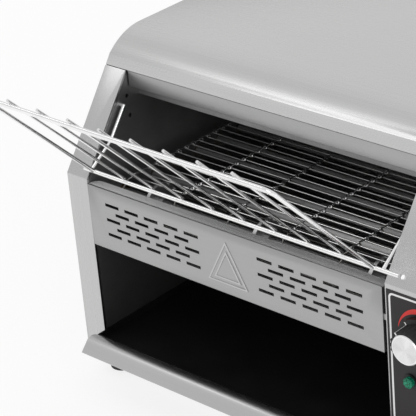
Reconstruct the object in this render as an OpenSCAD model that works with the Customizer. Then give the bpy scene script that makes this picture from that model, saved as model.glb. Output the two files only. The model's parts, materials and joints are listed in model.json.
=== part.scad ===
// Conveyor toaster for a shop counter: a wire belt carries bread from the hinged feed
// rack between two rows of heater tubes and drops it on a tray under the front panel.
// Millimetres, +Z up, front towards -Y. Every module is drawn with the front face of
// the cabinet at y = 0 and is then moved so that the whole part is centred on the origin.

/* [Cabinet] */
// Width over the two side panels
cabinet_w = 490; // [470:1:520]
// Depth from the front face to the back of the cover
cabinet_d = 420; // [410:1:450]
// Height of the top of the cover above the counter
cabinet_h = 360; // [352:1:372]
// Height of the feet
foot_h = 20; // [14:1:28]
// Radius of a foot
foot_r = 15; // [10:0.5:18]
// Thickness of the sheet metal
sheet_t = 1.2; // [0.9:0.1:1.5]
// Height where the front face leans back
bend_h = 236.6; // [234:0.1:242]
// Lean of the upper front face, degrees from upright
lean = 36.5; // [34:0.5:38]
// Length of the leaning face up to the cover
lean_len = 117.6; // [112:0.1:120]
// Flat strip of the cover above its front edge
cover_strip = 11.9; // [8:0.1:14]
// Crease between the strip and the rounded front of the cover, in degrees
cover_crease = 9; // [4:0.5:12]
// Width of the left front post
post_w = 28.5; // [24:0.5:34]
// Width of the control column
control_w = 81.5; // [78:0.5:90]
// Depth of the fold along the inner edge of a post
hem_d = 3; // [2:0.1:5]
// Height of the header strip under the cover
header_h = 17; // [13:0.1:21]

/* [Front panel] */
// Height of its lower edge above the counter
panel_z = 162.4; // [158:0.1:166]
// Height of the panel
panel_h = 68.9; // [66:0.1:70]
// Depth of its top flange
panel_flange = 12.8; // [10:0.1:14]
// Gap between the panel and the control column
panel_gap = 3.7; // [2:0.1:5]
// Length of a vent slot
slot_l = 18.9; // [15:0.1:20]
// Height of a vent slot
slot_h = 3.4; // [2.5:0.1:4.5]
// Distance between slots in a row
slot_pitch = 27.1; // [25:0.1:30]
// Distance between rows of slots
slot_row = 8.43; // [7:0.01:9]
// Slots in a long row
slot_n = 5; // [3:1:5]
// Width of the pressed triangle
bead_w = 51.6; // [40:0.1:55]
// Height of the pressed triangle
bead_h = 47; // [36:0.1:50]

/* [Belt] */
// Diameter of the belt wire
belt_wire = 2; // [1.6:0.1:2.2]
// Distance between the rows of the belt
belt_pitch = 11.25; // [11:0.05:12]
// Lanes of the belt, an odd number
lanes = 5; // [3:2:7]
// Width of the opening that the belt leaves free, both sides together
belt_play = 25; // [24:0.5:40]
// Distance of the belt to the right of the middle of the opening
belt_shift = 4.5; // [0:0.5:5]
// Teeth of a belt sprocket
belt_teeth = 12; // [12:4:12]
// Rows on the upper run
belt_rows = 26; // [24:1:27]
// Height of the upper run above the counter
belt_z = 223; // [220:0.5:225]
// Distance from the front face to the front shaft
front_shaft_y = 50; // [42:0.5:54]
// Radius of the belt shafts
shaft_r = 5; // [4:0.5:6]

/* [Feed rack] */
// Diameter of the frame rods
rod_d = 4.2; // [3.6:0.1:5]
// Diameter of the long wires
rack_wire = 3; // [2.4:0.1:3.4]
// Gaps between the long wires
rack_gaps = 9; // [7:1:9]
// Width of the opening that the wires leave free, both sides together
rack_play = 22.7; // [20:0.1:40]
// Length of the frame from its seat rod
rack_l = 186; // [150:1:200]
// Slope of the rack from level
rack_slope = 45.4; // [42:0.1:48]
// Distance of the seat rod above the bend, along the leaning face
rack_seat = 10; // [8:0.5:16]
// Radius of the corners of the frame
rack_corner = 10; // [6:0.5:14]
// Distance of the rack to the left of the middle of the opening
rack_shift = 3; // [0:0.5:4]

/* [Tray] */
// Height of the underside of the pan
tray_z = 52; // [50:0.5:54]
// Depth of the pan
tray_d = 274; // [240:1:280]
// Height of its rims
tray_rim = 8.5; // [6:0.5:10]
// Reach of the lip in front of the cabinet
lip_reach = 37.5; // [30:0.5:42]

/* [Controls] */
// Height of the upper knob
knob_z = 192.3; // [186:0.1:196]
// Distance between the two knobs
knob_drop = 114; // [108:1:120]
// Radius of a knob's skirt
skirt_r = 22; // [20:0.5:24]
// Radius of a knob's grip
grip_r = 17.8; // [15:0.1:19]
// Length of a knob's grip
grip_l = 16.5; // [12:0.5:20]
// Height of the indicator lamps
lamp_z = 143; // [138:0.5:148]
// Radius of an indicator lens
lens_r = 5.3; // [4.5:0.1:6]

/* [Heaters and drive] */
// Radius of a heater tube
tube_r = 3.5; // [3:0.1:5.5]
// Lower heater tubes
lower_tubes = 7; // [5:1:7]
// Upper heater tubes
upper_tubes = 5; // [3:1:5]
// Distance of the upper tubes above the belt
upper_gap = 60; // [54:1:62]
// Pitch of the drive chain
chain_pitch = 8; // [7:0.25:8]
// Chain pitches between the two drive sprockets
chain_span = 12; // [10:2:14]
// Teeth of a drive sprocket
chain_teeth = 12; // [12:4:12]

/* [Hidden] */
$fn = 48;
seat = 0.3;

// ---- places worked out from the sizes above (front face at y = 0) ----
left_x = -cabinet_w / 2;
right_x = cabinet_w / 2;
open_l = left_x + post_w;
open_r = right_x - control_w;
open_mid = (open_l + open_r) / 2;
up_lean = [sin(lean), cos(lean)];
into_lean = [cos(lean), -sin(lean)];
bend = [0, bend_h];
seam = bend + lean_len * up_lean;
strip_end = bend + (lean_len + cover_strip) * up_lean;
bend_start = lean + cover_crease;
into_bend = [cos(bend_start), -sin(bend_start)];
cover_r = (cabinet_h - strip_end[1]) / (1 - sin(bend_start));
cover_c = strip_end + cover_r * into_bend;
under_cover = sheet_t + seat;
skin_back = cabinet_d - under_cover;
floor_top = foot_h + sheet_t;
wall_top = cabinet_h - 16;
wall_back = cabinet_d - 17;
cover_skirt = 18;
header_gap = 1.3;
header_set = 1.5;
header_fold = 16;
header_top = seam[1] - header_gap;
header_foot = header_top - header_h;

// belt path: a straight upper run, a half turn, a lower run and a half turn
belt_turn_r = belt_pitch / (2 * sin(180 / belt_teeth));
shaft_z = belt_z - belt_turn_r;
rear_shaft_y = front_shaft_y + belt_rows * belt_pitch;
strand_reach = belt_pitch + belt_wire + 0.5;
knot_rise = belt_wire + 0.75;
knot_lean = 1.5;
edge_tail = 3.5;
lane_w = (open_r - open_l - belt_play) / lanes;
belt_mid = open_mid + belt_shift;

// drive
chain_turn_r = chain_pitch / (2 * sin(180 / chain_teeth));
chain_x = open_r + 14;
motor_z = shaft_z - chain_span * chain_pitch;
roller_r = 2.4;
chain_w = 5;

// wheels and bushes
sprocket_w = 4;
hub_w = 14;
bearing_r = shaft_r + 4;
bearing_out = 8;
motor_x = chain_x + 14;
motor_r = 19;
gear_box = [22, 56, 64];
gear_drop = 20;
gear_bore = 12;
stay_r = 3;
stay_y = 24;
stay_z = [-16, 40];

// heaters: centres of the tubes in the y-z plane
lower_tube_y = front_shaft_y + belt_turn_r + 24;
lower_tube_z = shaft_z + 1.5;
lower_tube_pitch = 3 * belt_pitch;
upper_tube_z = belt_z + upper_gap;
upper_tube_y = 138;
upper_tube_pitch = 40;
reflector_rise = 16;
lower_places = [for (i = [0:lower_tubes - 1]) [lower_tube_y + i * lower_tube_pitch, lower_tube_z]];
upper_places = [for (i = [0:upper_tubes - 1]) [upper_tube_y + i * upper_tube_pitch, upper_tube_z]];
tube_places = concat(lower_places, upper_places);
holder_r = tube_r + 3;
holder_out = 9;

// feed rack: seat rod, tips and hanging hooks
rod_r = rod_d / 2;
wire_r = rack_wire / 2;
rack_org = bend + rack_seat * up_lean - (rod_r + 0.1 + seat) * into_lean;
rack_x = open_mid - rack_shift;
rack_pitch = (open_r - open_l - rack_play) / rack_gaps;
rack_half = rack_gaps * rack_pitch / 2;
wire_lift = rod_r + wire_r - 0.2;
tip_over = 5.5;
arm_r = 2;
arm_in = 4.5;
hook_y = 58;
hook_z = 297;
hook_elbow = [34, 266];
spare_hooks = [[68, 303], [70, 281]];
rod_left = 5;
rod_right = 14;
end_step = 5;

// controls
knob_x = right_x - 41.5;
overlay_t = 0.5;
knob_gap = 2.5;
skirt_t = 4.5;
spindle_r = 3;
knob_places = [knob_z, knob_z - knob_drop];
lamp_places = [knob_x - 14, knob_x + 14];
ring_r = lens_r + 2;
bush_r = spindle_r + 2;
spindle_l = knob_gap + overlay_t + sheet_t + 12;
flutes = 20;
lens_h = 7;
lens_facets = 8;

// front panel: margins of the slots, pressed bead
slot_margin = 23;
slot_drop = 18.8;
bead_x = open_mid - 3.5;
bead_foot = 10.7;
bead_out = 0.8;
bead_step = 5;
bead_line = 1.6;
base_lip = 24;
ceiling_rise = 2.4;
ceiling_in = 12;
ceiling_out = 6;
ceiling_lip = 8;
rail_end = 10;
rail_h = 10;
rail_w = 12;
base_lip_back = hem_d + seat + sheet_t + seat;
foot_in = 22;

// vent slots in the sides and the back
vent_l = 22;
vent_pitch = 30;
side_vent_y = 150;
side_vent_tops = [90, cabinet_h - 70];
back_vent_top = cabinet_h - 60;
screw_r = 3.5;

// cable gland in the back panel
gland_x = knob_x;
gland_z = 62;
gland_r = 9;
gland_bore = 5;

// lip of the tray and drop chute
tray_play = 1.5;
lip_fold = 7.7;
lip_back = -12;
chute_slope = 22;
chute_r = 70;
chute_wall = cabinet_d - 18;
chute_foot = [tray_d + lip_back - 8, tray_z + 4.6];

// whole part in depth: rack tips in front, cable gland behind
gland_l = 11.5;
rack_front = rack_org[0] - (rack_l + tip_over) * cos(rack_slope)
    + (wire_lift - wire_r) * sin(rack_slope);
whole_back = skin_back + gland_l;
mid_y = (rack_front + whole_back) / 2;

// ---- shared forms ----
// moves a piece from the front-face frame to the frame of the whole part
module in_place() {
    translate([0, -mid_y, 0])
        children();
}

// extrudes a drawing in the y-z plane from x = a to x = b
module across(a, b) {
    translate([a, 0, 0])
        rotate([90, 0, 90])
            linear_extrude(height = b - a)
                children();
}

// a round bar along x
module bar(a, b, r, y, z) {
    translate([a, y, z])
        rotate([0, 90, 0])
            cylinder(h = b - a, r = r);
}

// a round bar between two points of the y-z plane, at the given x
module rod_between(x, p, q, r) {
    translate([x, p[0], p[1]])
        rotate([atan2(q[1] - p[1], q[0] - p[0]), 0, 0])
            rotate([-90, 0, 0])
                cylinder(h = norm(q - p), r = r);
}

// a round bar along y, from y, l long
module bar_y(x, z, r, y, l) {
    translate([x, y, z])
        rotate([-90, 0, 0])
            cylinder(h = l, r = r);
}

// side outline of the cabinet, moved inwards by d from its front, top and back
module outline(d, low = foot_h) {
    polygon(concat([[d, low], [d, bend_h - d * tan(lean / 2)]],
        arc(cover_c, cover_r - d, 180 - bend_start, 90, 12),
        [[cabinet_d - d, cabinet_h - d], [cabinet_d - d, low]]));
}

// everything above the front edge of the cover, whose cut is moved up the slope by gap
module cover_side(gap = 0) {
    cut = seam + gap * up_lean;
    polygon([cut - 30 * into_lean, cut + 20 * into_lean, [skin_back - 20, cabinet_h - cover_skirt],
        [cabinet_d + 20, cabinet_h - cover_skirt], [cabinet_d + 20, cabinet_h + 20],
        [cut[0] - 30, cabinet_h + 20]]);
}

// unit normal on the left of the way from p to q
function side(p, q) = [p[1] - q[1], q[0] - p[0]] / norm(q - p);
// corner i of the path p, moved sideways by t with a mitre
function corner(p, i, t) =
    let (a = side(p[max(i - 1, 0)], p[max(i - 1, 0) + 1]),
         b = side(p[min(i, len(p) - 2)], p[min(i, len(p) - 2) + 1]))
    p[i] + t * (a + b) / (1 + a * b);
// outline of a bent sheet with one face along the path p and its thickness t to the left
function sheet(p, t) = concat(p, [for (i = [len(p) - 1:-1:0]) corner(p, i, t)]);
// points of an arc
function arc(c, r, a, b, n) =
    [for (i = [0:n]) c + r * [cos(a + (b - a) * i / n), sin(a + (b - a) * i / n)]];

// point k pitches along a loop with straight runs of span pitches round two equal wheels
function loop_at(k, span, teeth, pitch, r) =
    let (half = teeth / 2, step = 360 / teeth, n = 2 * span + teeth)
    k < 0 ? loop_at(k + n, span, teeth, pitch, r)
    : k <= span ? [k * pitch, r]
    : k < span + half ? [span * pitch, 0] + r * [sin(step * (k - span)), cos(step * (k - span))]
    : k <= 2 * span + half ? [(2 * span + half - k) * pitch, -r]
    : k < n ? -r * [sin(step * (k - 2 * span - half)), cos(step * (k - 2 * span - half))]
    : loop_at(k - n, span, teeth, pitch, r);

// rows of n slots in the plane of the drawing, every second row shifted by half a pitch
module slot_field(n, rows, l, h, pitch, row) {
    for (j = [0:rows - 1])
        for (i = [0:n - 1 - j % 2])
            translate([(i + (j % 2) / 2) * pitch, -j * row])
                square([l, h]);
}

// ---- cabinet ----
// front and leaning edge of a side skin below the cover, to a depth of t
module face_strip(t) {
    difference() {
        outline(sheet_t / 2);
        outline(t, foot_h - 1);
        cover_side(-seat);
        translate([seam[0] + 20, 0])
            square([cabinet_d, cabinet_h + 1]);
    }
}

// one side of the cabinet, from its skin at x = 0 to the hem at x = w
module side_panel(w) {
    face = [[0, foot_h], bend, seam - 2 * seat * up_lean];
    across(0, sheet_t) {
        outline(under_cover);
        face_strip(under_cover + 4);
    }
    across(0, w)
        polygon(sheet(face, -sheet_t));
    across(w - sheet_t, w)
        polygon(sheet(face, -hem_d));
}

// two fields of vent slots through a side skin that starts at x
module side_vents(x) {
    for (z = side_vent_tops)
        across(x - 1, x + sheet_t + 1)
            translate([side_vent_y, z])
                slot_field(7, 4, vent_l, 3, vent_pitch, 8);
}

module left_side_panel() {
    color("silver") in_place()
        difference() {
            translate([left_x, 0, 0])
                side_panel(post_w);
            side_vents(left_x);
        }
}

module right_side_panel() {
    color("silver") in_place()
        difference() {
            translate([right_x, 0, 0])
                mirror([1, 0, 0])
                    side_panel(control_w);
            side_vents(right_x - sheet_t);
            control_holes(-1, sheet_t + 2);
        }
}

module top_cover() {
    color("silver") in_place() {
        across(left_x, right_x) {
            polygon([seam, seam + sheet_t * into_lean, strip_end + sheet_t * into_bend, strip_end]);
            polygon(sheet([[cover_c[0], cabinet_h], [cabinet_d, cabinet_h],
                [cabinet_d, cabinet_h - cover_skirt]], -sheet_t));
        }
        translate([left_x, cover_c[0], cover_c[1]])
            rotate([90, 0, 90])
                rotate([0, 0, 90])
                    cover_bend();
    }
}

// rounded front of the cover, as a part of a tube about z that ends at the x axis
module cover_bend() {
    rotate_extrude(angle = 90 - bend_start, $fn = 192)
        translate([cover_r - sheet_t, 0])
            square([sheet_t, cabinet_w]);
}

module header_panel() {
    face = seam[0] + header_set;
    color("silver") in_place()
        across(open_l + header_gap, open_r)
            polygon(sheet([[face + header_fold, header_foot], [face, header_foot],
                [face, header_top]], -sheet_t));
}

module back_panel() {
    color("silver") in_place()
        difference() {
            translate([left_x + sheet_t, skin_back - sheet_t, floor_top])
                cube([cabinet_w - 2 * sheet_t, sheet_t, cabinet_h - under_cover - seat - floor_top]);
            for (x = [left_x + 70, left_x + 270])
                translate([x, skin_back + 1, back_vent_top])
                    rotate([90, 0, 0])
                        linear_extrude(height = sheet_t + 2)
                            slot_field(5, 6, vent_l, 3.5, vent_pitch, 9);
            bar_y(gland_x, gland_z, gland_r + 0.1, skin_back - sheet_t - 1, sheet_t + 2);
        }
}

module base_pan() {
    front = hem_d + seat;
    color("dimgray") in_place()
        difference() {
            across(left_x + sheet_t, right_x - sheet_t)
                polygon(sheet([[front, foot_h + base_lip], [front, foot_h],
                    [skin_back, foot_h]], sheet_t));
            translate([open_l + 60, 190, foot_h - 1])
                linear_extrude(height = sheet_t + 2)
                    slot_field(8, 5, 24, 4, 34, 14);
        }
}

module feet() {
    color("black") in_place()
        for (x = [left_x + foot_in, right_x - foot_in], y = [foot_in + 4, cabinet_d - foot_in])
            translate([x, y, 0])
                rotate_extrude($fn = 64)
                    polygon([[0, 0], [foot_r - 4, 0], [foot_r - 2, 1.5], [foot_r, foot_h - 3],
                        [foot_r, foot_h], [0, foot_h]]);
}

// inner wall between the belt space and an outer skin, from x on
module inner_wall(x) {
    difference() {
        across(x, x + sheet_t)
            intersection() {
                outline(hem_d + seat, floor_top);
                square([wall_back, wall_top]);
            }
        across(x - 1, x + sheet_t + 1) {
            for (y = [front_shaft_y, rear_shaft_y])
                translate([y, shaft_z])
                    circle(r = bearing_r + 0.05);
            for (p = tube_places)
                translate(p)
                    circle(r = holder_r + 0.05);
            translate([hook_y, hook_z])
                circle(r = arm_r + 0.08);
            for (p = spare_hooks)
                translate(p)
                    circle(r = arm_r + 0.2);
            square([base_lip_back, foot_h + base_lip + seat]);
        }
    }
}

module inner_left_wall() {
    color("dimgray") in_place()
        inner_wall(open_l - sheet_t);
}

module inner_right_wall() {
    color("dimgray") in_place()
        inner_wall(open_r);
}

// ---- front panel and inside sheets ----
module front_panel() {
    l = open_l + 0.2;
    r = open_r - panel_gap;
    top = panel_z + panel_h;
    color("silver") in_place()
        difference() {
            union() {
                across(l, r)
                    polygon(sheet([[11, panel_z], [0, panel_z], [0, top], [panel_flange, top]], -sheet_t));
                translate([r - sheet_t, sheet_t / 2, panel_z + sheet_t / 2])
                    cube([sheet_t, 10, panel_h - sheet_t]);
                pressed_triangle();
            }
            for (x = [l + slot_margin, r - slot_margin - (slot_n - 1) * slot_pitch - slot_l])
                translate([x, sheet_t + 1, top - slot_drop])
                    rotate([90, 0, 0])
                        linear_extrude(height = sheet_t + 3)
                            slot_field(slot_n, 5, slot_l, slot_h, slot_pitch, slot_row);
            flange_corner(l, top);
        }
}

// what is cut from the rear left corner of the top flange
module flange_corner(l, top) {
    r = panel_flange - 2.8;
    translate([l, panel_flange - r, top - sheet_t - 1])
        difference() {
            translate([-1, 0, 0])
                cube([r + 1, r + 1, sheet_t + 2]);
            translate([r, 0, -1])
                cylinder(h = sheet_t + 4, r = r);
        }
}

// double triangular bead pressed out of the front panel
module pressed_triangle() {
    translate([bead_x, sheet_t / 2, panel_z + bead_foot])
        rotate([90, 0, 0])
            linear_extrude(height = sheet_t / 2 + bead_out) {
                triangle_ring(0);
                triangle_ring(bead_step);
            }
}

// ring along a triangle whose outline is moved inwards by d
module triangle_ring(d) {
    difference() {
        triangle(d);
        triangle(d + bead_line);
    }
}

// isosceles triangle of bead_w by bead_h, all sides moved inwards by d
module triangle(d) {
    flank = atan2(bead_h, bead_w / 2);
    half = bead_w / 2 - d / tan(flank / 2);
    polygon([[-half, d], [half, d], [0, d + half * tan(flank)]]);
}

module panel_clip() {
    color("silver") in_place()
        translate([open_r - panel_gap, 1.5, panel_z + panel_h / 2])
            cube([panel_gap, 7, 6]);
}

module outlet_ceiling() {
    z = panel_z + ceiling_rise;
    back = rear_shaft_y + ceiling_out;
    color("dimgray") in_place()
        across(open_l, open_r)
            polygon(sheet([[ceiling_in, z], [back, z], [back, z - ceiling_lip]], -sheet_t));
}

// back wall of the drop space, curved forwards into the chute over the tray
module rear_chute() {
    corner_at = [chute_wall, chute_foot[1] + (chute_wall - chute_foot[0]) * tan(chute_slope)];
    run = chute_r * tan((90 - chute_slope) / 2);
    mid = corner_at - run * [cos(chute_slope), sin(chute_slope)]
        + chute_r * [-sin(chute_slope), cos(chute_slope)];
    path = concat([chute_foot], arc(mid, chute_r, chute_slope - 90, 0, 8),
        [[chute_wall, belt_z + 12]]);
    color("dimgray") in_place()
        across(open_l, open_r)
            polygon(sheet(path, -sheet_t));
}

module upper_reflector() {
    z = upper_tube_z + reflector_rise;
    front = seam[0] + header_fold;
    color("dimgray") in_place()
        across(open_l, open_r)
            polygon(sheet([[wall_back - 4, z], [front, z], [front, header_foot - seat]], -sheet_t));
}

// ---- tray ----
module tray_rails() {
    color("silver") in_place()
        for (s = [0, 1])
            translate([s == 0 ? open_l : open_r, 0, tray_z - seat])
                mirror([s, 0, 0])
                    translate([0, rail_end, 0])
                        rotate([-90, 0, 0])
                            linear_extrude(height = tray_d - 2 * rail_end)
                                polygon(sheet([[0, rail_h], [0, 0], [rail_w, 0]], sheet_t));
}

module toast_tray() {
    l = open_l + tray_play;
    w = open_r - open_l - 2 * tray_play;
    color([0.08, 0.08, 0.08]) in_place()
        difference() {
            translate([l, lip_back, tray_z])
                cube([w, tray_d, tray_rim]);
            translate([l + sheet_t, lip_back + sheet_t, tray_z + sheet_t])
                cube([w - 2 * sheet_t, tray_d, tray_rim]);
            translate([l - 1, chute_foot[0] - 1, tray_z + sheet_t])
                cube([w + 2, tray_d, tray_rim]);
        }
}

module tray_lip() {
    top = tray_z + tray_rim;
    fold = [lip_fold - lip_reach, top - 1.3];
    back = [lip_back - 0.2, top];
    path = concat([[-lip_reach, tray_z - 1]], [fold],
        arc([(fold[0] + back[0]) / 2, top - 9], 12.2, 122, 62, 6), [back, back - [0, 6]]);
    color("silver") in_place()
        across(open_l + tray_play, open_r - tray_play)
            polygon(sheet(path, -sheet_t));
}

// ---- belt ----
// one row of the belt, lying in the x-y plane and reaching forwards along +y: its lanes
// lie in turn at the back and at the front, joined by knots that hook over the next row
module strand() {
    r = belt_wire / 2;
    for (i = [0:lanes]) {
        x = (i - lanes / 2) * lane_w;
        s = i % 2 == 0 ? 1 : -1;
        knot(x, s * knot_lean, r);
    }
    for (i = [0:lanes - 1]) {
        x = (i - lanes / 2) * lane_w;
        y = i % 2 == 0 ? 0 : strand_reach;
        bar(x - knot_lean, x + lane_w + knot_lean, r, y, 0);
    }
    for (s = [-1, 1])
        translate([s * lanes * lane_w / 2, 0, 0])
            bar(-knot_lean - (s < 0 ? edge_tail : 0), knot_lean + (s > 0 ? edge_tail : 0), r,
                strand_reach, 0);
}

// the wire's step from one lane to the next: up, across over the next row, and down
module knot(x, lean_x, r) {
    from = [x + lean_x, strand_reach];
    to = [x - lean_x, 0];
    translate([from[0], from[1], 0])
        rotate([0, 0, atan2(to[1] - from[1], to[0] - from[0])])
            rotate([90, 0, 0])
                linear_extrude(height = belt_wire, center = true)
                    difference() {
                        translate([-r, -r])
                            square([norm(to - from) + 2 * r, knot_rise + 2 * r]);
                        translate([r, -r - 1])
                            square([norm(to - from) - 2 * r, knot_rise + 1]);
                    }
}

module conveyor_belt() {
    n = 2 * belt_rows + belt_teeth;
    ahead = strand_reach / belt_pitch;
    color([0.35, 0.35, 0.36]) in_place()
        translate([belt_mid, front_shaft_y, shaft_z])
            for (k = [0:n - 1]) {
                p = loop_at(k, belt_rows, belt_teeth, belt_pitch, belt_turn_r);
                q = loop_at(k + ahead, belt_rows, belt_teeth, belt_pitch, belt_turn_r);
                translate([0, p[0], p[1]])
                    rotate([atan2(q[1] - p[1], q[0] - p[0]), 0, 0])
                        strand();
            }
}

// round shaft at y in the height of the belt
module belt_shaft(a, b, y) {
    bar(a, b, shaft_r, y, shaft_z);
}

// toothed wheels that carry the belt between its rows, fixed on the shaft at y
module belt_sprockets(y) {
    for (i = [0:2:lanes - 1])
        translate([belt_mid + (i + 0.5 - lanes / 2) * lane_w, y, shaft_z])
            rotate([0, 90, 0]) {
                wheel(belt_teeth, belt_turn_r + 0.7, belt_wire / 2 + 1.2, belt_turn_r + 1.6, sprocket_w);
                translate([0, 0, -hub_w / 2])
                    tube(shaft_r + 4, shaft_r + 0.05, hub_w);
            }
}

// sprocket of the given width: a disc with round seats for wires or rollers
module wheel(teeth, seat_at, seat_r, tip_r, w) {
    translate([0, 0, -w / 2])
        linear_extrude(height = w)
            difference() {
                circle(r = tip_r, $fn = 72);
                for (i = [0:teeth - 1])
                    rotate(i * 360 / teeth)
                        translate([seat_at, 0])
                            circle(r = seat_r, $fn = 24);
                circle(r = shaft_r + 0.05);
            }
}

// a ring or bush standing on z = 0
module tube(outer, inner, h) {
    linear_extrude(height = h)
        difference() {
            circle(r = outer);
            circle(r = inner);
        }
}

module front_shaft() {
    color("silver") in_place()
        belt_shaft(open_l - bearing_out - 2, open_r + sheet_t + bearing_out + 2, front_shaft_y);
}

module front_sprockets() {
    color("gray") in_place()
        belt_sprockets(front_shaft_y);
}

module rear_shaft() {
    color("silver") in_place()
        belt_shaft(open_l - bearing_out - 2, chain_x + sprocket_w, rear_shaft_y);
}

module rear_sprockets() {
    color("gray") in_place()
        belt_sprockets(rear_shaft_y);
}

// flanged bushes that hold the two shafts in the inner walls
module shaft_bearings() {
    color("darkgoldenrod") in_place()
        for (s = [0, 1], y = [front_shaft_y, rear_shaft_y])
            translate([s == 0 ? open_l : open_r, y, shaft_z])
                mirror([1 - s, 0, 0])
                    rotate([0, 90, 0]) {
                        translate([0, 0, sheet_t])
                            tube(bearing_r + 4, shaft_r + 0.05, bearing_out - 2);
                        tube(bearing_r, shaft_r + 0.05, sheet_t);
                    }
}

// ---- drive ----
// toothed wheel under the rollers of the chain, at the height z
module drive_wheel(z) {
    translate([chain_x, rear_shaft_y, z])
        rotate([0, 90, 0])
            wheel(chain_teeth, chain_turn_r, roller_r + 0.35, chain_turn_r + 0.5, chain_w - 2);
}

module driven_sprocket() {
    color("gray") in_place() {
        drive_wheel(shaft_z);
        translate([chain_x + chain_w / 2 - 1, rear_shaft_y, shaft_z])
            rotate([0, 90, 0])
                tube(shaft_r + 4, shaft_r + 0.05, 3);
    }
}

module motor_sprocket() {
    color("gray") in_place() {
        drive_wheel(motor_z);
        bar(chain_x - 3, motor_x + 8, shaft_r + 0.1, rear_shaft_y, motor_z);
    }
}

// roller chain: inner and outer links in turn
module drive_chain() {
    n = 2 * chain_span + chain_teeth;
    color("dimgray") in_place()
        translate([chain_x, rear_shaft_y, shaft_z])
            rotate([-90, 0, 0])
                for (k = [0:n - 1]) {
                    p = loop_at(k, chain_span, chain_teeth, chain_pitch, chain_turn_r);
                    q = loop_at(k + 1, chain_span, chain_teeth, chain_pitch, chain_turn_r);
                    translate([0, p[0], p[1]])
                        rotate([atan2(q[1] - p[1], q[0] - p[0]), 0, 0])
                            chain_link(k % 2);
                }
}

// one link from its first pin at the origin to the next along +y
module chain_link(outer) {
    x = outer == 1 ? chain_w / 2 + 0.2 : chain_w / 2 - 1;
    for (s = [-1, 1])
        translate([s * (x + 0.4), 0, 0])
            rotate([90, 0, 90])
                linear_extrude(height = 0.8, center = true)
                    difference() {
                        union() {
                            circle(r = 3, $fn = 24);
                            translate([chain_pitch, 0])
                                circle(r = 3, $fn = 24);
                            translate([0, -2])
                                square([chain_pitch, 4]);
                        }
                        if (outer == 0)
                            for (y = [0, chain_pitch])
                                translate([y, 0])
                                    circle(r = 1.3, $fn = 24);
                    }
    for (y = [0, chain_pitch])
        translate([-x - 0.2, y, 0])
            rotate([0, 90, 0])
                if (outer == 1)
                    cylinder(h = 2 * x + 0.4, r = 1.1, $fn = 24);
                else
                    linear_extrude(height = 2 * x + 0.4)
                        difference() {
                            circle(r = roller_r, $fn = 24);
                            circle(r = 1.3, $fn = 24);
                        }
}

// geared motor on a bracket beside the inner wall
module drive_motor() {
    color("gray") in_place() {
        difference() {
            translate([motor_x, rear_shaft_y - gear_box[1] / 2, motor_z - gear_drop])
                cube(gear_box);
            bar(motor_x - 1, motor_x + gear_bore, shaft_r + 0.15, rear_shaft_y, motor_z);
        }
        bar(motor_x + gear_box[0], right_x - sheet_t - 4, motor_r, rear_shaft_y, motor_z + gear_drop);
        for (y = [-1, 1], z = stay_z)
            bar(open_r + sheet_t, motor_x, stay_r, rear_shaft_y + y * stay_y, motor_z + z);
    }
}

// ---- heaters ----
// tubes from wall to wall, with the pins of their ends outside the walls
module heater_tube(p) {
    bar(open_l - holder_out - 3, open_r + holder_out + 3, tube_r, p[0], p[1]);
}

module upper_heaters() {
    color("gainsboro") in_place()
        for (p = upper_places)
            heater_tube(p);
}

module lower_heaters() {
    color("gainsboro") in_place()
        for (p = lower_places)
            heater_tube(p);
}

// ceramic bushes that carry the tubes in the inner walls
module heater_holders() {
    color("white") in_place()
        for (s = [0, 1], p = tube_places)
            translate([s == 0 ? open_l : open_r, p[0], p[1]])
                mirror([1 - s, 0, 0])
                    rotate([0, 90, 0]) {
                        tube(holder_r, tube_r + seat, holder_out);
                        translate([0, 0, sheet_t])
                            tube(holder_r + 2, tube_r + seat, 3);
                    }
}

// ---- feed rack ----
// wire frame on which the bread slides in; it hangs on two hooks and rests on a rod
module bread_rack() {
    color([0.82, 0.82, 0.84]) in_place() {
        translate([rack_x, rack_org[0], rack_org[1]])
            rotate([-rack_slope, 0, 0])
                rack_frame();
        for (s = [-1, 1])
            rack_arm(s);
    }
}

// the frame lying flat: seat rod along x at the origin, outer end towards -y
module rack_frame() {
    bar(open_l - rod_left - rack_x, open_r + rod_right - rack_x, rod_r + 0.1, 0, 0);
    for (s = [-1, 1]) {
        translate([s * rack_half, rack_corner - rack_l, 0])
            rotate([-90, 0, 0])
                cylinder(h = rack_l - rack_corner, r = rod_r);
        translate([s * (rack_half - rack_corner), rack_corner - rack_l, 0])
            rotate([0, 0, s < 0 ? 180 : 270])
                rotate_extrude(angle = 90)
                    translate([rack_corner, 0])
                        circle(r = rod_r, $fn = 24);
    }
    bar(rack_corner - rack_half, rack_half - rack_corner, rod_r, -rack_l, 0);
    bar(-rack_half, rack_half, rod_r - 0.3, -rack_l + end_step, 0);
    for (i = [1:rack_gaps - 1])
        translate([i * rack_pitch - rack_half, -rack_l - tip_over, wire_lift])
            rotate([-90, 0, 0])
                cylinder(h = rack_l + tip_over + 2, r = wire_r);
}

// side arm from the seat rod up to its hook, which turns in the inner wall
module rack_arm(s) {
    x = s < 0 ? open_l + arm_in : open_r - arm_in;
    wall = s < 0 ? open_l - sheet_t - 1 : open_r + sheet_t + 1;
    hook = [hook_y, hook_z];
    rod_between(x, rack_org, hook_elbow, arm_r);
    rod_between(x, hook_elbow, hook, arm_r);
    for (p = [hook_elbow, hook])
        translate([x, p[0], p[1]])
            sphere(r = arm_r + 0.1, $fn = 32);
    bar(min(x, wall), max(x, wall), arm_r, hook_y, hook_z);
}

// ---- controls ----
// holes for the knob spindles and lamps through the front of the control column
module control_holes(y, depth) {
    for (z = knob_places)
        bar_y(knob_x, z, bush_r + 0.1, y, depth);
    for (x = lamp_places)
        bar_y(x, lamp_z, lens_r + 0.3, y, depth);
}

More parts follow.
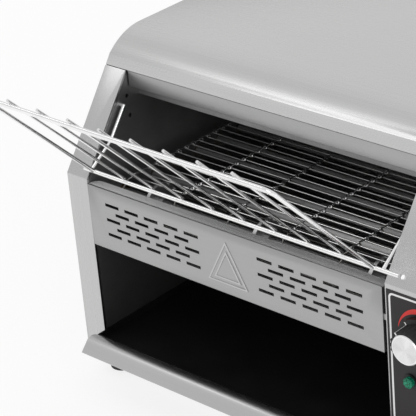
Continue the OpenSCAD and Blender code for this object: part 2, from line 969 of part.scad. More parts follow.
module control_overlay() {
    l = open_r + 1.5;
    low = foot_h + 18;
    color([0.22, 0.21, 0.21]) in_place()
        difference() {
            translate([l, -overlay_t, low])
                cube([right_x - 3 - l, overlay_t, bend_h - 5 - low]);
            control_holes(-2, 4);
        }
}

// knob with a skirt and a fluted grip; its spindle turns in the control behind the panel
module knob(z) {
    translate([knob_x, -overlay_t - knob_gap, z])
        rotate([90, 0, 0]) {
            cylinder(h = skirt_t, r = skirt_r, $fn = 96);
            translate([0, 0, skirt_t])
                linear_extrude(height = grip_l)
                    difference() {
                        circle(r = grip_r, $fn = 96);
                        for (i = [0:flutes - 1])
                            rotate((i + 0.5) * 360 / flutes)
                                translate([grip_r + 1.6, 0])
                                    circle(r = 2.6, $fn = 24);
                    }
            translate([0, 0, -spindle_l])
                cylinder(h = spindle_l, r = spindle_r);
        }
}

// spun metal disc on the end of a knob
module knob_cap(z) {
    translate([knob_x, -overlay_t - knob_gap - skirt_t - grip_l, z])
        rotate([90, 0, 0])
            rotate_extrude($fn = 96)
                polygon([[0, 0], [grip_r - 2.8, 0], [grip_r - 2.8, 1], [grip_r - 3.6, 1.8], [0, 1.8]]);
}

// switch or regulator behind the panel, with its bush and nut in front
module rotary_control(z, w, d) {
    difference() {
        union() {
            translate([knob_x - w / 2, sheet_t, z - w / 2])
                cube([w, d, w]);
            bar_y(knob_x, z, bush_r, -overlay_t - 2, sheet_t + overlay_t + 3);
            translate([knob_x, -overlay_t, z])
                rotate([90, 0, 0])
                    cylinder(h = 2, r = 7, $fn = 6);
        }
        bar_y(knob_x, z, spindle_r + 0.05, -overlay_t - 3, spindle_l + 2);
    }
}

module temperature_knob() {
    color([0.12, 0.12, 0.12]) in_place()
        knob(knob_places[0]);
}

module temperature_knob_cap() {
    color("gainsboro") in_place()
        knob_cap(knob_places[0]);
}

module temperature_switch() {
    color("ivory") in_place()
        rotary_control(knob_places[0], 34, 26);
}

module speed_knob() {
    color([0.12, 0.12, 0.12]) in_place()
        knob(knob_places[1]);
}

module speed_knob_cap() {
    color("gainsboro") in_place()
        knob_cap(knob_places[1]);
}

module speed_control() {
    color("dimgray") in_place()
        rotary_control(knob_places[1], 24, 18);
}

// ring with a flange on the overlay and a barrel through the panel
module lamp_ring(x) {
    translate([x, -overlay_t, lamp_z])
        rotate([90, 0, 0]) {
            tube(ring_r, lens_r + 0.1, 1.6);
            translate([0, 0, -sheet_t - overlay_t - 8])
                tube(lens_r + 0.25, lens_r - 0.8, sheet_t + overlay_t + 8);
        }
}

// lens whose round stem ends in a faceted dome
module lamp_lens(x) {
    translate([x, -overlay_t, lamp_z])
        rotate([90, 0, 0])
            intersection() {
                translate([0, 0, 0.1])
                    cylinder(h = lens_h, r = lens_r);
                intersection_for(i = [0:lens_facets - 1])
                    rotate([0, 0, i * 360 / lens_facets])
                        rotate([0, 40, 0])
                            translate([-20, -20, -20])
                                cube([40, 40, 20 + lens_h + 0.4]);
            }
}

module power_lamp_ring() {
    color([0.15, 0.15, 0.15]) in_place()
        lamp_ring(lamp_places[0]);
}

module power_lamp_lens() {
    color([0.1, 0.6, 0.4]) in_place()
        lamp_lens(lamp_places[0]);
}

module heating_lamp_ring() {
    color([0.15, 0.15, 0.15]) in_place()
        lamp_ring(lamp_places[1]);
}

module heating_lamp_lens() {
    color("orange") in_place()
        lamp_lens(lamp_places[1]);
}

// ---- inlet and fasteners ----
module terminal_block() {
    ways = 3;
    color("ivory") in_place()
        difference() {
            translate([gland_x - 18, skin_back - 50, floor_top])
                cube([36, 22, 20]);
            for (i = [0:ways - 1])
                translate([gland_x - 12 + i * 12, skin_back - 39, floor_top + 12])
                    cylinder(h = 20, r = 3);
        }
}

module cable_gland() {
    color([0.1, 0.1, 0.1]) in_place()
        translate([gland_x, skin_back, gland_z])
            rotate([-90, 0, 0]) {
                translate([0, 0, -10])
                    tube(gland_r, gland_bore, 10);
                tube(gland_r + 3, gland_bore, 4);
                translate([0, 0, 4])
                    rotate_extrude()
                        polygon([[gland_bore, 0], [gland_r, 0], [gland_r - 1.5, gland_l - 4],
                            [gland_bore, gland_l - 4]]);
            }
}

module cover_screws() {
    n = 5;
    color("silver") in_place()
        for (i = [0:n - 1])
            translate([left_x + 30 + i * (cabinet_w - 60) / (n - 1), cabinet_d, cabinet_h - cover_skirt / 2])
                rotate([-90, 0, 0])
                    cylinder(h = 2, r = screw_r);
}

module side_screws() {
    color("silver") in_place()
        for (s = [-1, 1], y = [26, cabinet_d - 30], z = [foot_h + 20, bend_h - 26.6])
            translate([s * cabinet_w / 2, y, z])
                rotate([0, s * 90, 0])
                    cylinder(h = 2, r = screw_r);
}

left_side_panel();
right_side_panel();
top_cover();
header_panel();
back_panel();
base_pan();
feet();
inner_left_wall();
inner_right_wall();
front_panel();
panel_clip();
outlet_ceiling();
rear_chute();
upper_reflector();
tray_rails();
toast_tray();
tray_lip();
conveyor_belt();
front_shaft();
front_sprockets();
rear_shaft();
rear_sprockets();
shaft_bearings();
driven_sprocket();
drive_chain();
motor_sprocket();
drive_motor();
upper_heaters();
lower_heaters();
heater_holders();
bread_rack();
control_overlay();
temperature_knob();
temperature_knob_cap();
temperature_switch();
speed_knob();
speed_knob_cap();
speed_control();
power_lamp_ring();
power_lamp_lens();
heating_lamp_ring();
heating_lamp_lens();
terminal_block();
cable_gland();
cover_screws();
side_screws();
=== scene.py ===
import json
import math

import bpy
from mathutils import Matrix, Vector

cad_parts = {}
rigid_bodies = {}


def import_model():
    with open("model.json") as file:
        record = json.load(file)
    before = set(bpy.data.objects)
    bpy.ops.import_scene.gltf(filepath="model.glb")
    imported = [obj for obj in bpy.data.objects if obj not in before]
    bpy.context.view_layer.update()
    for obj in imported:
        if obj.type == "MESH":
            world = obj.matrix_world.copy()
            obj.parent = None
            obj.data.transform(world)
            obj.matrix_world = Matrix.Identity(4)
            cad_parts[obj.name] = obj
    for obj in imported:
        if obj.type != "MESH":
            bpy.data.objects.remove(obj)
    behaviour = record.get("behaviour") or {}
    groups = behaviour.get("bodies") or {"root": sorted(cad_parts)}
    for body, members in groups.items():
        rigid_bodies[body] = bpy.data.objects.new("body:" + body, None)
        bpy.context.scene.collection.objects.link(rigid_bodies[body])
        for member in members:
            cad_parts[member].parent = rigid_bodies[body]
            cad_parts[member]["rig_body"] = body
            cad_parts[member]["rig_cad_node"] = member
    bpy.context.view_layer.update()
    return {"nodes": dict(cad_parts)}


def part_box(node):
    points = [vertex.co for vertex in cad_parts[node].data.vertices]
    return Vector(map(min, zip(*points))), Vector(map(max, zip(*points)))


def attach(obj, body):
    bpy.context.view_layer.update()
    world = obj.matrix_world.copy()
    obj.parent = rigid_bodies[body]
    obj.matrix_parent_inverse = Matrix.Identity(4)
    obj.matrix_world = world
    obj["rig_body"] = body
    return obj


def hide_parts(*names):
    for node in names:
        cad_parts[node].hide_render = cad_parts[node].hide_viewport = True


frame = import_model()
nodes = frame["nodes"]

# ---- cabinet sheets ----
# Side panels, cover, header, back and base of 1.2 mm stainless steel, brushed in long
# fine lines. The sheets are cut, folded with a small radius and screwed together.


class Shade:
    """A socket of a finish. Sums, products and so on of sockets and numbers add Math nodes."""

    def __init__(self, tree, socket=None):
        self.tree = tree
        self.socket = socket

    def node(self, kind, settings, values, out=0):
        """A new node: its settings, then the values or links of its sockets."""
        made = self.tree.nodes.new("ShaderNode" + kind)
        for key, value in settings.items():
            setattr(made, key, value)
        for key, value in values.items():
            if isinstance(value, Shade):
                self.tree.links.new(value.socket, made.inputs[key])
            else:
                made.inputs[key].default_value = value
        return Shade(self.tree, made.outputs[out] if made.outputs else None)

    def math(self, operation, other=0.0):
        return self.node("Math", {"operation": operation}, {0: self, 1: other})

    def __add__(self, other):
        return self.math("ADD", other)

    def __sub__(self, other):
        return self.math("SUBTRACT", other)

    def __rsub__(self, other):
        return self.node("Math", {"operation": "SUBTRACT"}, {0: other, 1: self})

    def __mul__(self, other):
        return self.math("MULTIPLY", other)

    def __abs__(self):
        return self.math("ABSOLUTE")

    __radd__ = __add__
    __rmul__ = __mul__

    def step(self, low, high, a=0.0, b=1.0):
        """a below low and b above high, with a smooth way between."""
        return self.node("MapRange", {"interpolation_type": "SMOOTHSTEP"}, {
            "Value": self, "From Min": low, "From Max": high, "To Min": a, "To Max": b})

    def mix(self, first, second):
        """first where self is 0 and second where it is 1, as a colour."""
        return self.node("Mix", {"data_type": "RGBA"}, {0: self, 6: first, 7: second}, 2)

    def parts(self):
        """The x, y and z of a place."""
        split = self.node("SeparateXYZ", {}, {0: self}).socket.node
        return [Shade(self.tree, axis) for axis in split.outputs]

    def stretched(self, scale):
        return self.node("Mapping", {}, {"Vector": self, "Scale": scale})

    def noise(self, scale, detail=2.0, rough=0.5):
        return self.node("TexNoise", {}, {
            "Vector": self, "Scale": scale, "Detail": detail, "Roughness": rough})

    def bump(self, strength, distance):
        return self.node("Bump", {}, {
            "Strength": strength, "Distance": distance, "Height": self})


def finish(name, looks, **fixed):
    """A material: what looks works out from the place on the piece, and the rest fixed."""
    material = bpy.data.materials.new(name)
    material.use_nodes = True
    material.node_tree.nodes.clear()
    start = Shade(material.node_tree)
    place = start.node("TexCoord", {}, {}, "Object")
    values = {key.replace("_", " "): value for key, value in fixed.items()}
    values.update(looks(place))
    shader = start.node("BsdfPrincipled", {}, values)
    start.node("OutputMaterial", {}, {"Surface": shader})
    return material


def brushed(tone, rough, brush, shade=None):
    """Looks of steel with brush lines that are long where the brush scale is small."""
    wide_brush = [scale * 0.17 for scale in brush]

    def looks(place):
        lines = place.stretched(brush).noise(1, 3, 0.6)
        wide = place.stretched(wide_brush).noise(1)
        smudge = place.noise(9)
        grey = tone * (0.91 + 0.08 * lines + 0.05 * wide + 0.05 * smudge)
        if shade:
            grey = grey * shade(place)
        return {"Base Color": grey,
                "Roughness": rough - 0.06 + 0.1 * lines + 0.05 * smudge,
                "Normal": (lines + wide).bump(0.07, 0.0001)}
    return looks


def dress(material, *names):
    """Gives CAD nodes their material."""
    for name in names:
        slots = nodes[name].data.materials
        slots.clear()
        slots.append(material)


def only(piece):
    """Leaves piece alone selected and active."""
    bpy.ops.object.select_all(action="DESELECT")
    piece.select_set(True)
    bpy.context.view_layer.objects.active = piece


def folded(node, material, radius, body="cabinet"):
    """The node's sheet again with its folds and cut edges rounded, in the node's place."""
    weld, flat_turn, sharp_turn, smooth_turn = 0.000002, 0.5, 31, 40
    piece = nodes[node].copy()
    piece.data = nodes[node].data.copy()
    piece.name = node + "_sheet"
    piece.parent = None
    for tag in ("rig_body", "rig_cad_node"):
        piece.pop(tag, None)
    bpy.context.collection.objects.link(piece)
    only(piece)
    bpy.ops.object.mode_set(mode="EDIT")
    bpy.ops.mesh.select_all(action="SELECT")
    bpy.ops.mesh.remove_doubles(threshold=weld)
    bpy.ops.mesh.dissolve_limited(angle_limit=math.radians(flat_turn))
    bpy.ops.object.mode_set(mode="OBJECT")
    rounding = piece.modifiers.new("rounding", "BEVEL")
    rounding.width = radius
    rounding.segments = 2
    rounding.limit_method = "ANGLE"
    rounding.angle_limit = math.radians(sharp_turn)
    bpy.ops.object.modifier_apply(modifier="rounding")
    bpy.ops.object.shade_smooth_by_angle(angle=math.radians(smooth_turn))
    piece.data.materials.clear()
    piece.data.materials.append(material)
    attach(piece, body)
    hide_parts(node)
    return piece


# brush lines: few to the metre along the brush, many across it
along_x = (5, 2400, 2400)
upright = (2400, 2400, 5)

# depths below the top of the cover at which its rolled front starts and ends
cover_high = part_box("top_cover")[1][2]
roll_foot, roll_start, roll_end, roll_top = 0.0205, 0.018, 0.008, 0.0006
# share by which painted shade darkens the colour of the cover's curved front
roll_painted_shade = 0.1


def rolled(place):
    """Painted shade: the cover's curved front is coloured a little darker than its flat top and
    its front strip.
    """
    height = place.parts()[2]
    above_strip = height.step(cover_high - roll_foot, cover_high - roll_start)
    below_top = height.step(cover_high - roll_end, cover_high - roll_top, 1, 0)
    return 1 - roll_painted_shade * above_strip * below_top


# the cover, the posts and the header are one steel: their different tones are painted light and
# painted shade, with the recessed header darkest
cover_steel = finish("cover_steel", brushed(0.69, 0.26, along_x, rolled), Metallic=1)
post_steel = finish("post_steel", brushed(0.55, 0.26, upright), Metallic=1)
header_steel = finish("header_steel", brushed(0.43, 0.36, along_x), Metallic=1)
thin_edge, post_edge = 0.0004, 0.0005
cabinet_sheets = [
    folded("top_cover", cover_steel, thin_edge),
    folded("left_side_panel", post_steel, post_edge),
    folded("right_side_panel", post_steel, post_edge),
    folded("header_panel", header_steel, thin_edge),
    folded("back_panel", post_steel, thin_edge)]
dress(post_steel, "base_pan")

# ---- feet ----
# Four black rubber feet, moulded and screwed under the base, slightly dusty where they
# are worn.


def rubber_looks(place):
    black, dusty = (0.012, 0.012, 0.012, 1), (0.05, 0.048, 0.045, 1)
    grain = place.noise(900, 3, 0.6)
    dust = place.noise(60, 3, 0.6).step(0.45, 0.75)
    return {"Base Color": (0.6 * dust).mix(black, dusty),
            "Roughness": 0.6 + 0.25 * grain,
            "Normal": grain.bump(0.3, 0.0002)}


dress(finish("rubber", rubber_looks), "feet")

# ---- inside sheets ----
# Walls, ceiling, reflector and chute of plain steel sheet, bent and screwed between the
# side panels, and darkened by heat and crumbs.


def baked(tone, rough):
    """Looks of a sheet darkened unevenly by baking."""
    def looks(place):
        cloud = place.noise(14, 4, 0.6)
        grain = place.noise(420)
        return {"Base Color": tone * (0.6 + 0.7 * cloud),
                "Roughness": rough + 0.2 * grain - 0.1 * cloud,
                "Normal": grain.bump(0.15, 0.0002)}
    return looks


dress(finish("dark_sheet", baked(0.3, 0.42), Metallic=1),
      "inner_left_wall", "inner_right_wall", "outlet_ceiling", "upper_reflector")
dress(finish("chute_sheet", baked(0.03, 0.5), Metallic=0.6), "rear_chute", "tray_rails")

# ---- front panel ----
# Slotted stainless panel under the rack with a plain double triangle pressed into it,
# and the small spring clip that holds its right edge to the control column.
panel_low, panel_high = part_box("front_panel")
panel_front, panel_top = panel_low[1], panel_high[2]
fold_foot, fold_top = 0.0016, 0.0008
fold_start, fold_end = 0.0022, 0.003
bead_out, bead_in = 0.0001, 0.0005
painted_light_w = 0.22


def panel_looks(place):
    """Brushed sheet, smooth on the fold behind its top edge; the fold is coloured lighter and
    made less metallic as a painted highlight, most at its left end, and the raised bead is
    coloured lighter as a painted highlight.
    """
    # the low tone of the panel is painted shade under the rack
    looks = brushed(0.42, 0.36, along_x)(place)
    across, depth, height = place.parts()
    fold = height.step(panel_top - fold_foot, panel_top - fold_top) * depth.step(
        panel_front + fold_start, panel_front + fold_end)
    raised = depth.step(panel_front + bead_out, panel_front + bead_in, 0.3, 0)
    # painted highlights: lighter colour on the raised bead and on the fold
    looks["Base Color"] = looks["Base Color"] * (1 + raised + 1.2 * fold)
    looks["Roughness"] = looks["Roughness"] * (1 - 0.3 * fold)
    # painted highlight: the fold is less metallic, so it shows as a pale band, most at the left
    looks["Metallic"] = 1 - fold * across.step(panel_low[0], panel_low[0] + painted_light_w, 0.75, 0.3)
    return looks


panel_steel = finish("panel_steel", panel_looks)
panel_edge = 0.0007
folded("front_panel", panel_steel, panel_edge)
dress(panel_steel, "panel_clip")

# ---- belt, shafts and drive ----
# Spring-steel wires hooked into each other in rows, carried by sprockets on two shafts;
# a chain behind the control column turns the rear shaft from the motor.
pitch, reach = 0.01125, 0.01375
lanes, lane = 5, 0.071
half_w = lanes * lane / 2
end_l = 0.005
hook_foot, hook_crown, crown_in, crown_h = 0.0015, 0.0011, 0.0014, 0.0024
wire_r, bend_r = 0.0009, 0.0008
turn_r = 0.021733
flat_rows, round_rows = 26, 6
belt_rows = 2 * (flat_rows + round_rows)
row_turn = 180 / round_rows

# one wire from its left end to its right: each hook steps to the other line of the row
bpy.ops.object.select_all(action="DESELECT")
bpy.ops.mesh.primitive_plane_add(size=0.001)
row = bpy.context.object
row.name = "belt_wires"
bpy.ops.object.mode_set(mode="EDIT")
bpy.ops.mesh.merge(type="CENTER")
last = Vector((-half_w - end_l, reach, 0))
bpy.ops.transform.translate(value=last)
for i in range(lanes + 1):
    x = i * lane - half_w
    side = 1 if i % 2 == 0 else -1
    hook = [Vector((x + side * hook_foot, reach, 0)),
            Vector((x + side * hook_crown, reach - crown_in, crown_h)),
            Vector((x - side * hook_crown, crown_in, crown_h)),
            Vector((x - side * hook_foot, 0, 0))]
    for point in hook if side == 1 else reversed(hook):
        bpy.ops.mesh.extrude_region_move(TRANSFORM_OT_translate={"value": point - last})
        last = point
bpy.ops.mesh.extrude_region_move(
    TRANSFORM_OT_translate={"value": (hook_foot + end_l, 0, 0)})
bpy.ops.mesh.select_all(action="SELECT")
bpy.ops.mesh.bevel(offset=bend_r, segments=2, affect="VERTICES")
bpy.ops.object.mode_set(mode="OBJECT")
bpy.ops.object.convert(target="CURVE")
row.data.bevel_depth = wire_r
row.data.bevel_resolution = 1
bpy.ops.object.convert(target="MESH")
bpy.ops.object.shade_smooth()


def on_belt(k):
    """Place of a point that lies k pitches along the loop round the two shafts."""
    k = k % belt_rows
    back, under = flat_rows, flat_rows + round_rows
    front = under + flat_rows
    if k <= back:
        return Vector((0, k * pitch, turn_r))
    if k < under:
        turn = math.radians(row_turn * (k - back))
        return Vector((0, back * pitch + turn_r * math.sin(turn), turn_r * math.cos(turn)))
    if k <= front:
        return Vector((0, (front - k) * pitch, -turn_r))
    turn = math.radians(row_turn * (k - front))
    return Vector((0, -turn_r * math.sin(turn), -turn_r * math.cos(turn)))


belt_low, belt_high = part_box("conveyor_belt")
shaft_low, shaft_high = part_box("front_shaft")
shaft = Vector(((belt_low[0] + belt_high[0]) / 2,
                (shaft_low[1] + shaft_high[1]) / 2,
                (shaft_low[2] + shaft_high[2]) / 2))
rows = [row]
for k in range(1, belt_rows):
    copied = row.copy()
    copied.data = row.data.copy()
    bpy.context.collection.objects.link(copied)
    rows.append(copied)
for k, piece in enumerate(rows):
    here, there = on_belt(k), on_belt(k + reach / pitch)
    tilt = math.atan2(there.z - here.z, there.y - here.y)
    piece.data.transform(Matrix.Translation(shaft + here) @ Matrix.Rotation(tilt, 4, "X"))
only(row)
for piece in rows:
    piece.select_set(True)
bpy.ops.object.join()

tunnel_start, tunnel_end = shaft.y + 0.07, shaft.y + 0.26
run_low, run_high = shaft.z - 0.006, shaft.z + 0.012
front_turn = 0.01


def belt_looks(place):
    """Drawn wire, coloured darker from the front to the back of the tunnel as painted shade, and
    with painted shade on the front turn and the lower run.
    """
    bright, painted_tunnel_shade = (0.95, 0.95, 0.95, 1), (0.2, 0.19, 0.18, 1)
    shadowed, tarnished = (0.16, 0.155, 0.15, 1), (0.35, 0.34, 0.32, 1)
    _, depth, height = place.parts()
    cloud = place.noise(30, 3, 0.6)
    # painted shade: the wire's colour darkens through the tunnel
    tunnel_shade = (depth + 0.05 * cloud).step(tunnel_start, tunnel_end)
    # painted shade on the front turn and the lower run, where this is 0
    upper = height.step(run_low, run_high) * depth.step(shaft.y - front_turn, shaft.y)
    tint = upper.mix(shadowed, tunnel_shade.mix(bright, painted_tunnel_shade))
    return {"Base Color": (0.25 * cloud).mix(tint, tarnished),
            "Roughness": 0.12 + 0.12 * place.noise(1500) + 0.15 * tunnel_shade}


belt_steel = finish("belt_steel", belt_looks, Metallic=1)
row.data.materials.clear()
row.data.materials.append(belt_steel)
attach(row, "cabinet")
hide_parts("conveyor_belt")


def drawn(tone, rough):
    """Looks of drawn wire and turned bar, a little tarnished here and there."""
    def looks(place):
        tarnish = place.noise(30, 3, 0.6)
        scratch = place.noise(1500)
        return {"Base Color": tone * (0.78 + 0.35 * tarnish),
                "Roughness": rough + 0.15 * scratch}
    return looks


def bronze_looks(place):
    """Sintered bush, browned by oil."""
    brown, yellow = (0.2, 0.13, 0.07, 1), (0.3, 0.2, 0.11, 1)
    return {"Base Color": place.noise(200).mix(brown, yellow),
            "Roughness": 0.3 + 0.2 * place.noise(500)}


dress(finish("bar_steel", drawn(0.5, 0.3), Metallic=1),
      "front_shaft", "rear_shaft", "front_sprockets", "rear_sprockets", "driven_sprocket",
      "motor_sprocket", "drive_chain")
dress(finish("bronze", bronze_looks, Metallic=1), "shaft_bearings")
dress(finish("motor_metal", baked(0.3, 0.4), Metallic=0.9), "drive_motor")

# ---- heaters ----
# Frosted quartz tubes under and over the belt, seated in ceramic holders coloured near black to
# dark brown, while the block that joins the leads is pale. The tubes are pale at the front right
# and carry painted shade towards the back and the left.
shade_lean, shade_start, shade_end = 1.1, -0.02, 0.26


def quartz_looks(place):
    """Frosted tube, pale at the front right and darker towards the back and the left as painted
    shade.
    """
    painted_shade_grey, quartz_white = (0.17, 0.17, 0.17, 1), (0.9, 0.9, 0.89, 1)
    frost = place.noise(260, 3, 0.6)
    cloud = place.noise(11)
    across, depth, _ = place.parts()
    # painted light and shade: pale where the light falls in at the front right, dark further in
    painted_light_mask = (across - shade_lean * depth + 0.12 * cloud).step(shade_start, shade_end)
    return {"Base Color": painted_light_mask.mix(painted_shade_grey, quartz_white),
            "Roughness": 0.22 + 0.25 * frost,
            "Normal": frost.bump(0.1, 0.0002)}


def ceramic_looks(place):
    return {"Base Color": 0.55 + 0.2 * place.noise(120, 3, 0.6),
            "Roughness": 0.5 + 0.2 * place.noise(600)}


def dark_ceramic_looks(place):
    # the holders are coloured near black to dark brown in patches
    near_black, brown = (0.02, 0.018, 0.016, 1), (0.12, 0.1, 0.085, 1)
    return {"Base Color": place.noise(90, 3, 0.6).mix(near_black, brown),
            "Roughness": 0.5 + 0.2 * place.noise(600)}


dress(finish("quartz", quartz_looks), "upper_heaters", "lower_heaters")
dress(finish("ceramic", ceramic_looks), "terminal_block")
dress(finish("dark_ceramic", dark_ceramic_looks), "heater_holders")

# ---- bread rack ----
# Bright chromed wires welded to a seat rod, which hangs by two arms hooked into the
# inner walls.


def chrome_looks(place):
    haze = place.noise(70, 3, 0.6)
    return {"Base Color": 0.84 + 0.12 * haze, "Roughness": 0.1 + 0.14 * haze}


dress(finish("chrome_wire", chrome_looks, Metallic=1), "bread_rack")

# ---- toast tray ----
# Black enamelled pan on rails with a brushed steel lip, folded over along its front.


def enamel_looks(place):
    """Orange-peel enamel, duller where crumbs have lain."""
    peel = place.noise(700, 3, 0.6)
    dust = place.noise(30, 3, 0.6)
    return {"Base Color": 0.004 + 0.006 * dust,
            "Roughness": 0.36 + 0.2 * dust,
            "Normal": peel.bump(0.15, 0.0002)}


dress(finish("black_pan", enamel_looks, Specular_IOR_Level=0.2), "toast_tray")
lip_steel = finish("lip_steel", brushed(0.56, 0.33, along_x), Metallic=1)
lip_edge = 0.0006
folded("tray_lip", lip_steel, lip_edge, "tray")

# ---- control overlay ----
# Printed polycarbonate sheet on the control column: charcoal, with a white border line,
# a red arc that swells with the heat around the upper knob and ticks around the lower one.
upper_low, upper_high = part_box("temperature_knob")
lower_low, lower_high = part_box("speed_knob")
knob_x = (upper_low[0] + upper_high[0]) / 2
heat_z = (upper_low[2] + upper_high[2]) / 2
speed_z = (lower_low[2] + lower_high[2]) / 2
sheet_low, sheet_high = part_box("control_overlay")
border_in, border_r = 0.0036, 0.004
arc_r, arc_thin, arc_wide = 0.0263, 0.0004, 0.0026
tick_r, tick_turn, last_tick = 0.0262, 27, 135


def border_print(x, z):
    """1 on a line that runs inside the edge of the sheet, with rounded corners."""
    beside = abs(x) - ((sheet_high[0] - sheet_low[0]) / 2 - border_in - border_r)
    above = abs(z) - ((sheet_high[2] - sheet_low[2]) / 2 - border_in - border_r)
    out_x, out_z = beside.math("MAXIMUM"), above.math("MAXIMUM")
    outer = (out_x * out_x + out_z * out_z).math("SQRT")
    inner = beside.math("MAXIMUM", above).math("MINIMUM")
    return abs(outer + inner - border_r).step(0.0009, 0.0011, 1, 0)


def from_knob(x, z):
    """Distance from a knob's axis, and the turn from upright."""
    return (x * x + z * z).math("SQRT"), x.math("ARCTAN2", z)


def heat_print(x, z):
    """1 on an arc from the left round to the lower right that grows wider as it starts."""
    away, turn = from_knob(x, z)
    swell = turn.step(math.radians(-80), math.radians(-5), arc_thin, arc_wide)
    begun = turn.step(math.radians(-81), math.radians(-79))
    ended = turn.step(math.radians(128), math.radians(130), 1, 0)
    return abs(away - arc_r).math("LESS_THAN", swell) * begun * ended


def tick_print(x, z):
    """1 on short strokes at even turns, from the lower left round to the lower right."""
    away, turn = from_knob(x, z)
    from_tick = (turn + math.radians(last_tick)).math("PINGPONG", math.radians(tick_turn / 2))
    stroke = (from_tick * away).step(0.0004, 0.0006, 1, 0)
    ring = abs(away - tick_r).step(0.0018, 0.002, 1, 0)
    swept = abs(turn).step(math.radians(last_tick + 1), math.radians(last_tick + 2), 1, 0)
    return stroke * ring * swept


def overlay_looks(place):
    dark, charcoal = (0.020, 0.018, 0.019, 1), (0.030, 0.027, 0.028, 1)
    red, white = (0.72, 0.045, 0.04, 1), (0.82, 0.82, 0.82, 1)
    across, _, height = place.parts()
    border = border_print(across - (sheet_low[0] + sheet_high[0]) / 2,
                          height - (sheet_low[2] + sheet_high[2]) / 2)
    arc = heat_print(across - knob_x, height - heat_z)
    ticks = tick_print(across - knob_x, height - speed_z)
    grain = place.noise(1800)
    colour = arc.mix((0.5 + 0.5 * grain).mix(dark, charcoal), red)
    return {"Base Color": border.math("MAXIMUM", ticks).mix(colour, white),
            "Roughness": 0.38 + 0.12 * grain,
            "Normal": grain.bump(0.08, 0.0001)}


dress(finish("overlay", overlay_looks, Specular_IOR_Level=0.25), "control_overlay")

# ---- knobs ----
# Moulded black knobs with a skirt, a fluted grip and a spun metal disc on the end, pushed
# on to their spindles; a white line runs over the skirt, up the grip and on to its rim.


def moulded_looks(place):
    grain = place.noise(1500, 3, 0.6)
    worn = place.noise(40)
    return {"Base Color": 0.007 + 0.006 * grain,
            "Roughness": 0.26 + 0.12 * worn + 0.1 * grain,
            "Normal": grain.bump(0.12, 0.0001)}


knob_black = finish("knob_black", moulded_looks, Specular_IOR_Level=0.3)
knob_edge = 0.0006
for node, body in (("temperature_knob", "temperature_dial"), ("speed_knob", "speed_dial")):
    folded(node, knob_black, knob_edge, body)
dress(knob_black, "power_lamp_ring", "heating_lamp_ring", "temperature_switch",
      "speed_control", "cable_gland")

# the line's path lies 0.1 to 0.3 mm over the skirt and the grip, and then its paint is
# thickened both ways
line_w, line_t, line_turn = 0.0012, 0.0003, 39
skirt_r, grip_r, grip_l = 0.022, 0.0178, 0.0165
line_out, over_skirt, over_grip = 0.001, 0.0001, 0.0003
line_start, line_end = skirt_r - line_out, 0.0154
line_side = grip_r + over_grip
knob_front = upper_low[1]


def paint_looks(place):
    return {"Base Color": 0.78 + 0.08 * place.noise(900),
            "Roughness": 0.4 + 0.2 * place.noise(2000)}


line_white = finish("line_white", paint_looks)
for name, middle, body in (("temperature_line", heat_z, "temperature_dial"),
                           ("speed_line", speed_z, "speed_dial")):
    axis = (knob_x, 0, middle)
    bpy.ops.object.select_all(action="DESELECT")
    bpy.ops.mesh.primitive_plane_add(size=line_w)
    line = bpy.context.object
    line.name = name
    bpy.ops.object.mode_set(mode="EDIT")
    bpy.ops.transform.resize(value=(1, 0, 1))
    bpy.ops.mesh.remove_doubles(threshold=0.00001)
    bpy.ops.transform.translate(value=(0, knob_front + grip_l - over_skirt, line_start))
    for along in ((0, 0, line_side - line_start), (0, -grip_l - over_skirt, 0),
                  (0, 0, line_end - line_side)):
        bpy.ops.mesh.extrude_region_move(TRANSFORM_OT_translate={"value": along})
    bpy.ops.mesh.select_all(action="SELECT")
    bpy.ops.mesh.normals_make_consistent(inside=False)
    bpy.ops.transform.translate(value=axis)
    bpy.ops.transform.rotate(value=math.radians(line_turn), orient_axis="Y",
                             center_override=axis)
    bpy.ops.object.mode_set(mode="OBJECT")
    raised = line.modifiers.new("paint", "SOLIDIFY")
    raised.thickness = line_t
    raised.offset = 0
    bpy.ops.object.modifier_apply(modifier="paint")
    line.data.materials.append(line_white)
    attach(line, body)

disc_mid, disc_fans, bright_in, bright_out = 0.0005, 0.006, 0.0131, 0.0137
turning = 9000


def spun(middle):
    """Looks of a disc turned in fine rings, with painted reflections as fans of light round the
    axis and a painted highlight round its edge.
    """
    def looks(place):
        across, _, height = place.parts()
        away, turn = from_knob(across - knob_x, height - middle)
        rings = (away * turning).math("SINE")
        # painted reflection: fans of lighter and darker colour round the axis
        fans = (turn * 2 + 0.9).math("SINE") * away.step(disc_mid, disc_fans)
        fans = fans + 0.5 * (turn * 5).math("SINE")
        grey = 0.76 + 0.025 * rings + 0.05 * fans
        # painted highlight round the rim
        edge = away.step(bright_in, bright_out)
        return {"Base Color": edge.mix(grey, (0.9, 0.9, 0.9, 1)),
                "Roughness": 0.24 + 0.05 * rings,
                "Normal": rings.bump(0.1, 0.00005)}
    return looks


for node, middle in (("temperature_knob_cap", heat_z), ("speed_knob_cap", speed_z)):
    dress(finish(node + "_metal", spun(middle), Metallic=1), node)

# ---- lamps ----
# Clear faceted lenses over the indicator lamps, green for power and amber for heat,
# snapped into black rings.


def lens_looks(tone):
    painted_facet_shade = [part * 0.35 for part in tone] + [1]
    lit = [part * 1.5 for part in tone] + [1]

    def looks(place):
        # the colour is mottled between a darker and a lighter tone as painted shade and painted
        # glints of the facets
        depth = place.noise(900).step(0.35, 0.65)
        return {"Base Color": depth.mix(painted_facet_shade, lit),
                "Roughness": 0.05 + 0.1 * depth,
                "Normal": depth.bump(0.5, 0.0004)}
    return looks


green, amber = (0.008, 0.2, 0.11), (0.5, 0.16, 0.02)
dress(finish("green_lens", lens_looks(green), Specular_IOR_Level=0.3), "power_lamp_lens")
dress(finish("amber_lens", lens_looks(amber), Specular_IOR_Level=0.3), "heating_lamp_lens")

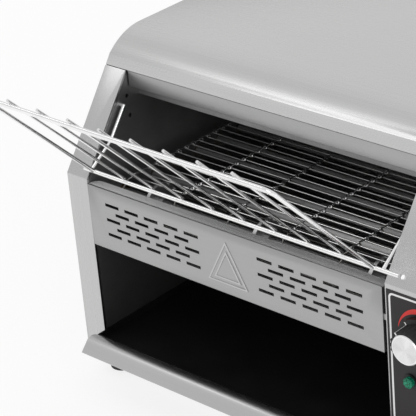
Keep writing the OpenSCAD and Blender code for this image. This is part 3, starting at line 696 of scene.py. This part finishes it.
# ---- fasteners ----
# Pan-head screws of zinc-plated steel, driven through the edges of the cover and the
# side panels.
dress(finish("zinc", drawn(0.6, 0.3), Metallic=1), "cover_screws", "side_screws")

# ---- studio ----
# White floor and pale world, a long soft strip light above the left front and a weak
# fill on the right.
floor_w, floor_white, floor_glow, glow_share = 16, 0.9, 1.06, 0.75
bpy.ops.mesh.primitive_plane_add(size=floor_w, location=(0, 0, 0))
floor = bpy.context.object
floor.name = "studio_floor"
floor_paint = bpy.data.materials.new("studio_floor")
floor_paint.use_nodes = True
floor_paint.node_tree.nodes.clear()
start = Shade(floor_paint.node_tree)
lit = start.node("BsdfDiffuse", {}, {"Color": (floor_white, floor_white, floor_white, 1)})
glow = start.node("Emission", {}, {"Color": (1, 1, 1, 1), "Strength": floor_glow})
both = start.node("MixShader", {}, {0: glow_share, 1: lit, 2: glow})
start.node("OutputMaterial", {}, {"Surface": both})
floor.data.materials.append(floor_paint)

world_light = 0.75
world = bpy.data.worlds.new("studio")
bpy.context.scene.world = world
world.use_nodes = True
world.node_tree.nodes.clear()
start = Shade(world.node_tree)
sky = start.node("Background", {}, {"Color": (1, 1, 1, 1), "Strength": world_light})
start.node("OutputWorld", {}, {"Surface": sky})

aim = Vector((0, -0.05, 0.3))
for name, place, along, size, power in (
        ("strip_key", (-1.79, -0.945, 2.565), (0.985, -0.13, 0.35), (2.6, 0.34), 5.4),
        ("soft_fill", (1.9, -1.6, 1.3), (1, 1, 0), (1.2, 1.2), 8)):
    lamp = bpy.data.objects.new(name, bpy.data.lights.new(name, "AREA"))
    lamp.data.shape = "RECTANGLE"
    lamp.data.size, lamp.data.size_y = size
    lamp.data.energy = power
    back = (Vector(place) - aim).normalized()
    wide = (Vector(along) - Vector(along).dot(back) * back).normalized()
    facing = Matrix((wide, back.cross(wide), back)).transposed().to_4x4()
    lamp.matrix_world = Matrix.Translation(place) @ facing
    bpy.context.collection.objects.link(lamp)

# ---- camera ----
# Long lens from the right front, above the cover and turned a little about its axis.
camera_place = (1.1466, -1.3618, 1.1171)
azimuth, elevation, roll = (math.radians(turn) for turn in (44.61, 26.96, -5.18))
sensor_w, focal_length, farthest = 36, 172.84, 50
lens = bpy.data.cameras.new("camera")
camera = bpy.data.objects.new("camera", lens)
bpy.context.collection.objects.link(camera)
ahead = Vector((-math.sin(azimuth) * math.cos(elevation),
                math.cos(azimuth) * math.cos(elevation),
                -math.sin(elevation)))
level = Vector((math.cos(azimuth), math.sin(azimuth), 0))
down = ahead.cross(level)
right = math.cos(roll) * level - math.sin(roll) * down
low = math.sin(roll) * level + math.cos(roll) * down
turned = Matrix((right, -low, -ahead)).transposed().to_4x4()
camera.matrix_world = Matrix.Translation(camera_place) @ turned
lens.sensor_width = sensor_w
lens.lens = focal_length
lens.clip_end = farthest
bpy.context.scene.camera = camera
bpy.context.scene.view_settings.view_transform = "Standard"

# ---- update ----
# The scene's matrices are brought up to date.
bpy.context.view_layer.update()
